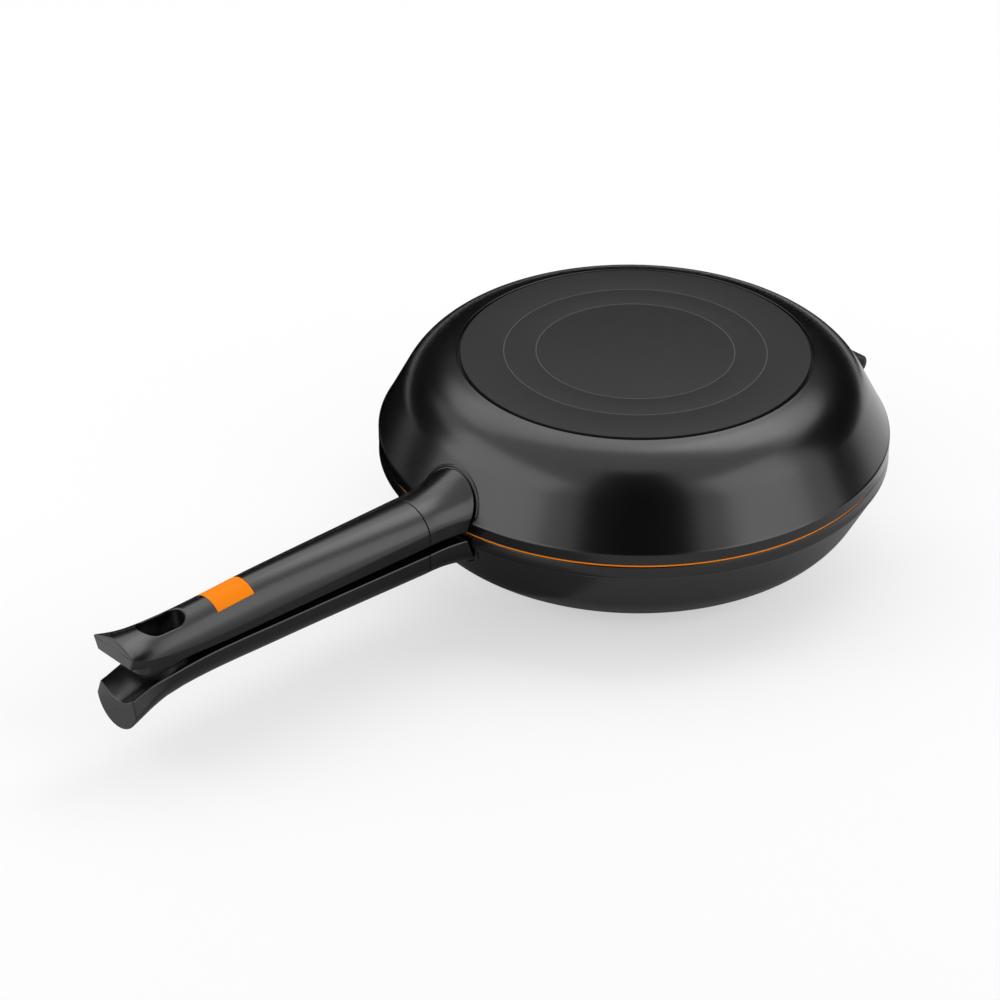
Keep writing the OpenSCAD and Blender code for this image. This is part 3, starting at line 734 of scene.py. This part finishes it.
def badge_patch(form):
    """Inlay that follows the dome, with softened edges."""
    half_l = BADGE_L / 2

    def steps(half, count):
        edge = [half - BADGE_SOFT * share for share in (0.0, 0.05, 0.3, 1.0)]
        inside = list(np.linspace(1 - half, half - 1, count))[1:-1]
        return [-e for e in edge] + inside + edge[::-1]

    def drop(distance):
        t = min(1.0, distance / BADGE_SOFT)
        return BADGE_SOFT * (1 - math.sqrt(max(0.0, 1 - (1 - t) ** 2)))

    rings = []
    for u in steps(half_l, 15):
        a = BADGE_MID + u
        top = []
        for v in steps(BADGE_W, 19):
            fall = drop(half_l - abs(u)) + drop(BADGE_W - abs(v))
            top.append((-a, v, dome_z(form, a, v) + BADGE_PROUD - min(fall, 2 * BADGE_SOFT)))
        foot = dome_z(form, a, BADGE_W) - BADGE_DEPTH
        rings.append(top + [(-a, BADGE_W, foot), (-a, -BADGE_W, foot)])
    points, faces = skin(rings)
    return finish_mesh("badge", points, faces, True, badge_orange)


def box_points(low, high):
    (x0, y0, z0), (x1, y1, z1) = low, high
    ring0 = [(x0, y0, z0), (x1, y0, z0), (x1, y1, z0), (x0, y1, z0)]
    ring1 = [(x, y, z1) for x, y, _ in ring0]
    return skin([ring0, ring1])


def rod(start, end, radius):
    """Cylinder from start to end, which differ in x or in z alone."""
    turns = np.radians(np.arange(0, 360, 5))
    if start[0] != end[0]:
        offsets = [(0.0, radius * math.cos(t), radius * math.sin(t)) for t in turns]
    else:
        offsets = [(radius * math.cos(t), radius * math.sin(t), 0.0) for t in turns]
    return skin([[tuple(c + d for c, d in zip(centre, offset)) for offset in offsets]
                 for centre in (start, end)])


def soften(node, width):
    """Rounds the sharp edges of a CAD piece."""
    mod = nodes[node].modifiers.new("soft_edges", "BEVEL")
    mod.width = width * MM
    mod.segments = 3
    mod.limit_method = "ANGLE"
    mod.angle_limit = math.radians(40)


for bracket in ("lower_hinge_bracket", "upper_hinge_bracket"):
    soften(bracket, BRACKET_EDGE)


def make_grip(side):
    """Grip's shell with its holes and slot, and for the upper one the boss and the badge."""
    upper = side == "upper"
    form = FORMS[side]
    hole = prism(slot_outline(SLOT_FILLET), CUT_LOW, CUT_HIGH)
    bore = rod((-PLUG_FROM, 0, SCREW_Z), (-SLOT_MID, 0, SCREW_Z), PLUG_R + JOINT_ROOM)
    magnet_top = inner_z(MAGNET_MID) + MAGNET_T + JOINT_ROOM
    seat = rod((-MAGNET_MID, 0, -1), (-MAGNET_MID, 0, magnet_top), MAGNET_R + JOINT_ROOM)
    body = grip_body(form, upper)
    for cutter in (hole, bore, seat):
        cut(body, *cutter, upper)
    liner = slot_liner(form, upper)
    cut(liner, *bore, upper)
    pieces = [body, liner]
    if upper:
        half_l, half_y = BADGE_L / 2 + JOINT_ROOM, BADGE_W + JOINT_ROOM
        pocket_z = dome_z(form, BADGE_MID, BADGE_W) - BADGE_POCKET
        cut(body, *box_points((-BADGE_MID - half_l, -half_y, pocket_z),
                              (-BADGE_MID + half_l, half_y, CUT_HIGH)), upper)
        boss = tail_boss()
        cut(boss, *hole, upper)
        pieces.append(boss)
        badge = even_normals(badge_patch(form))
        badge.name = "upper_badge_inlay"
        hand_over(badge, side, "_badge")
    grip = even_normals(combine(side + "_grip_shell", pieces, grip_black))
    hand_over(grip, side, "_grip")


# ---- ferrules ----

# The groove at a ferrule's root is widest at its sides and closes over the top
ROOT_GAP_TOP, ROOT_GAP_SIDE = 0.35, 0.75
# Rounded edge at the root, as (distance from the groove, inset)
ROOT_EDGE = [(0.0, 0.7), (0.15, 0.35), (0.4, 0.12), (0.8, 0.0)]
BEAD_R, BEAD_GROW = 0.75, 0.55
BEAD_FOOT_Z = RIM_BAND_H - 1.0


def pan_outer_r(z):
    """Radius of the pan's outer surface at height z of the half frame."""
    if z <= RIM_BAND_H:
        return RIM_R
    if z >= ARC_FOOT[1]:
        return BASE_FLAT_R + math.sqrt(max(0.0, SHOULDER_R ** 2 - (z - SHOULDER_Z) ** 2))
    t = (z - WALL_FOOT[1]) / (ARC_FOOT[1] - WALL_FOOT[1])
    return WALL_FOOT[0] + t * (ARC_FOOT[0] - WALL_FOOT[0])


def root_distance(form, j, gap):
    """Distance along the handle at which outline point j meets the pan."""
    a = RIM_R
    for _ in range(12):
        y, z = section(form, a)[j]
        a = math.sqrt(max(1.0, (pan_outer_r(z) + gap) ** 2 - y * y))
    return a


def make_ferrule(side):
    """Ferrule's shell, from the groove at the pan's wall to the joint line."""
    form = FORMS[side]
    end = GRIP_START - JOINT_LINE
    start = section(form, GRIP_START)
    count = len(start)
    roots = []
    for j, (y, _) in enumerate(start):
        gap = ROOT_GAP_TOP + ROOT_GAP_SIDE * (abs(y) / half_w(GRIP_START)) ** 2
        roots.append(root_distance(form, j, gap))

    def point(j, a, inset):
        y, z = section(form, a, inset)[j]
        return (-a, y, z)

    rings = [[point(j, roots[j] + ahead, inset) for j in range(count)] for ahead, inset in ROOT_EDGE]
    froms = [root + ROOT_EDGE[-1][0] for root in roots]
    for share in np.linspace(0.06, 0.97, 18):
        rings.append([point(j, froms[j] + (end - START_EDGE_R - froms[j]) * share, 0.0)
                      for j in range(count)])
    for t in np.radians(np.linspace(0, 90, 4)):
        a = end - START_EDGE_R * (1 - math.sin(t))
        rings.append([point(j, a, START_EDGE_R * (1 - math.cos(t))) for j in range(count)])
    points, faces = skin(rings)
    shell = finish_mesh(side + "_ferrule_shell", points, faces, side == "upper", ferrule_black)
    hand_over(even_normals(shell), side, "_ferrule")


def root_bead(form, upper):
    """Cast lip on the pan, round the ferrule's root."""
    dome_count = len(section(form, GRIP_START)) - FLOOR_POINTS - 2 * CORNER_POINTS
    path = []
    for j in range(dome_count):
        a = root_distance(form, j, 0.0)
        y, z = section(form, a, -BEAD_GROW)[j]
        a = math.sqrt(max(1.0, pan_outer_r(z) ** 2 - y * y))
        path.append(Vector((-a, y, z)))
    feet = [Vector((end.x, end.y, BEAD_FOOT_Z)) for end in (path[0], path[-1])]
    path = [feet[0]] + path + [feet[1]]
    rings = []
    for i, centre in enumerate(path):
        along = (path[min(i + 1, len(path) - 1)] - path[max(i - 1, 0)]).normalized()
        out = Vector((centre.x, centre.y, 0)).normalized()
        side_way = along.cross(out).normalized()
        out = side_way.cross(along).normalized()
        rings.append([tuple(centre + BEAD_R * (math.cos(t) * out + math.sin(t) * side_way))
                      for t in np.radians(np.arange(0, 360, 30))])
    points, faces = skin(rings)
    return finish_mesh("bead", points, faces, upper, pan_coating)


def make_pan(side):
    """Pan's shell with the hinge's pad and the lip round the ferrule's root."""
    upper, rim_z = side == "upper", RIM_LIFTS[side]
    body = pan_body("pan", rim_z, upper)
    reach = math.sqrt((RIM_R - RIM_W / 2) ** 2 - HINGE_HALF_W ** 2)
    pad_box = box_points((reach, -HINGE_HALF_W, rim_z),
                         (RIM_R + PAD_OUT, HINGE_HALF_W, RIM_BAND_H - RIM_STEP))
    pad = finish_mesh("pad", *pad_box, upper, pan_coating)
    pieces = [body, pad, root_bead(FORMS[side], upper)]
    pan = even_normals(combine(side + "_pan_shell", pieces, pan_coating))
    hand_over(pan, side, "_pan")


for side in ("upper", "lower"):
    make_pan(side)
    make_ferrule(side)
    make_grip(side)


# ---- floor, cards, lights and world ----

# Share of the floor that glows white to the eye, painted light that thins the object's shadow: near
# the object, behind it and far out
FLOOR_WHITE, FLOOR_WHITE_BEHIND, FLOOR_WHITE_FAR = 0.44, 0.8, 1.0
FLOOR_FADE_FAR = (0.4, 1.2)
FLOOR_FADE_BEHIND = (-0.12, 0.0)
FLOOR_REACH, FLOOR_Z = 6.0, -0.0002
CARD_FAR, CARD_STEPS = 1.9, 8
LIGHT_FAR = 1.6
LIGHT_AIM = Vector((0, 0, 0.05))
WORLD_FILL = 0.55


def seen_directly(tree):
    """1 for camera, glossy and transmission rays, else 0."""
    path = tree.nodes.new("ShaderNodeLightPath")
    result = path.outputs["Is Camera Ray"]
    for name in ("Is Glossy Ray", "Is Transmission Ray"):
        result = math_node(tree, "MAXIMUM", result, path.outputs[name])
    return result


def staged(name, material, points, faces):
    """Piece of the studio, which isn't part of the object."""
    mesh = bpy.data.meshes.new(name)
    mesh.from_pydata(points, [], faces)
    obj = bpy.data.objects.new(name, mesh)
    bpy.context.scene.collection.objects.link(obj)
    set_material(obj, material)
    return obj


def staged_sheet(name, material, x0, y0, x1, y1, z):
    return staged(name, material, [(x0, y0, z), (x1, y0, z), (x1, y1, z), (x0, y1, z)], [(0, 1, 2, 3)])


def add_floor():
    """White floor that keeps the object's shadow, and that a camera under it sees through.

    A share of it glows white to the eye, painted light that thins its shadow: more behind the object,
    and all of it far out.
    """
    material, tree, shader = new_material("floor_white", (0.97, 0.97, 0.97), 0.8)
    shader.inputs["Specular IOR Level"].default_value = 0.0
    geometry = tree.nodes.new("ShaderNodeNewGeometry")

    def white_share(operation, other, fade, high):
        """Share of white, which runs from FLOOR_WHITE to high over the fade."""
        measure = tree.nodes.new("ShaderNodeVectorMath")
        measure.operation = operation
        tree.links.new(geometry.outputs["Position"], measure.inputs[0])
        measure.inputs[1].default_value = other
        share = mapped(tree, measure.outputs["Value"], FLOOR_WHITE, high)
        share.node.inputs["From Min"].default_value, share.node.inputs["From Max"].default_value = fade
        return share

    def mix_shaders(factor, first, second):
        mix = tree.nodes.new("ShaderNodeMixShader")
        tree.links.new(factor, mix.inputs["Fac"])
        tree.links.new(first, mix.inputs[1])
        tree.links.new(second, mix.inputs[2])
        return mix.outputs["Shader"]

    # Painted light: the floor glows more behind the object, which washes out its shadow there
    back = (-math.sin(PHOTO_AZIMUTH), math.cos(PHOTO_AZIMUTH), 0)
    white = math_node(tree, "MAXIMUM",
                      white_share("LENGTH", (0, 0, 0), FLOOR_FADE_FAR, FLOOR_WHITE_FAR),
                      white_share("DOT_PRODUCT", back, FLOOR_FADE_BEHIND, FLOOR_WHITE_BEHIND))
    glow = tree.nodes.new("ShaderNodeEmission").outputs["Emission"]
    eye_white = math_node(tree, "MULTIPLY", white, seen_directly(tree))
    from_above = mix_shaders(eye_white, shader.outputs["BSDF"], glow)
    clear = tree.nodes.new("ShaderNodeBsdfTransparent").outputs["BSDF"]
    eye = tree.nodes.new("ShaderNodeLightPath").outputs["Is Camera Ray"]
    seen_below = math_node(tree, "MULTIPLY", geometry.outputs["Backfacing"], eye)
    surface = mix_shaders(seen_below, from_above, clear)
    tree.links.new(surface, tree.nodes["Material Output"].inputs["Surface"])
    staged_sheet("floor", material, -FLOOR_REACH, -FLOOR_REACH, FLOOR_REACH, FLOOR_REACH, FLOOR_Z)


def around(azimuth_deg, elevation_deg, distance):
    """Place seen from the object at a view azimuth and elevation."""
    a, e = math.radians(azimuth_deg), math.radians(elevation_deg)
    return Vector((math.sin(a) * math.cos(e), -math.cos(a) * math.cos(e), math.sin(e))) * distance


def card_material(name, level):
    material, _, shader = new_material(name, (level, level, level), 1.0)
    shader.inputs["Specular IOR Level"].default_value = 0.0
    return material


card_black = card_material("card_black", 0.0)
# Grey sheets of painted shade for the floor, seen in reflections alone
floor_shade_grey = card_material("floor_shade_grey", 0.6)
floor_shade_dark = card_material("floor_shade_dark", 0.3)


def reflected_only(card):
    """Leaves the card to glossy rays alone."""
    for ray in ("camera", "diffuse", "shadow", "transmission"):
        setattr(card, "visible_" + ray, False)


def add_card(name, azimuths, elevations):
    """Black studio card, part of a sphere about the object."""
    count = CARD_STEPS + 1
    rows = np.linspace(*elevations, count)
    columns = np.linspace(*azimuths, count)
    points = [around(column, row, CARD_FAR) for row in rows for column in columns]
    lows = [i * count + j for i in range(CARD_STEPS) for j in range(CARD_STEPS)]
    faces = [(low, low + 1, low + count + 1, low + count) for low in lows]
    reflected_only(staged(name, card_black, points, faces))


# Sheet on the floor seen in reflections alone: painted shade for the floor's shadow round the object
def floor_shade_card(name, material, x0, y0, x1, y1, z=0.001):
    reflected_only(staged_sheet(name, material, x0, y0, x1, y1, z))


def add_light(name, azimuth_deg, elevation_deg, size, power):
    """Area lamp turned towards the object."""
    place = around(azimuth_deg, elevation_deg, LIGHT_FAR)
    data = bpy.data.lights.new(name, "AREA")
    data.shape = "RECTANGLE"
    data.size, data.size_y = size
    data.energy = power
    light = bpy.data.objects.new(name, data)
    light.location = place
    light.rotation_euler = (LIGHT_AIM - place).to_track_quat("-Z", "Y").to_euler()
    bpy.context.scene.collection.objects.link(light)


add_floor()
# Painted shade in reflections: the floor shadowed in front of the pan, under the handle and behind it
floor_shade_card("front_floor_card", floor_shade_grey, -0.8, -0.6, 0.13, 0.05)
floor_shade_card("handle_floor_card", floor_shade_dark, -0.3, -0.11, -0.1, 0.05, 0.0014)
floor_shade_card("back_floor_card", card_black, -0.3, 0.05, 0.6, 0.9)
add_card("front_card", (-68, -17), (2, 72))
add_card("left_card", (-195, -142), (-10, 29))
add_card("right_card", (52, 80), (-10, 40))
add_card("back_card", (80, 185), (-10, 37))
add_light("back_light", 130, 58, (2.6, 0.9), 8.2)
add_light("back_right_light", 97, 60, (0.8, 0.6), 2.0)
add_light("left_light", -115, 31, (1.72, 1.1), 8.0)
add_light("right_light", 18, 32, (1.05, 1.1), 5.2)

# White to the eye and in reflections, and a weaker fill on everything else
world = bpy.data.worlds.new("world")
bpy.context.scene.world = world
world.use_nodes = True
background = world.node_tree.nodes["Background"]
background.inputs["Color"].default_value = (1, 1, 1, 1)
world_white = mapped(world.node_tree, seen_directly(world.node_tree), WORLD_FILL, 1.0)
world.node_tree.links.new(world_white, background.inputs["Strength"])

bpy.context.scene.view_settings.view_transform = "Standard"
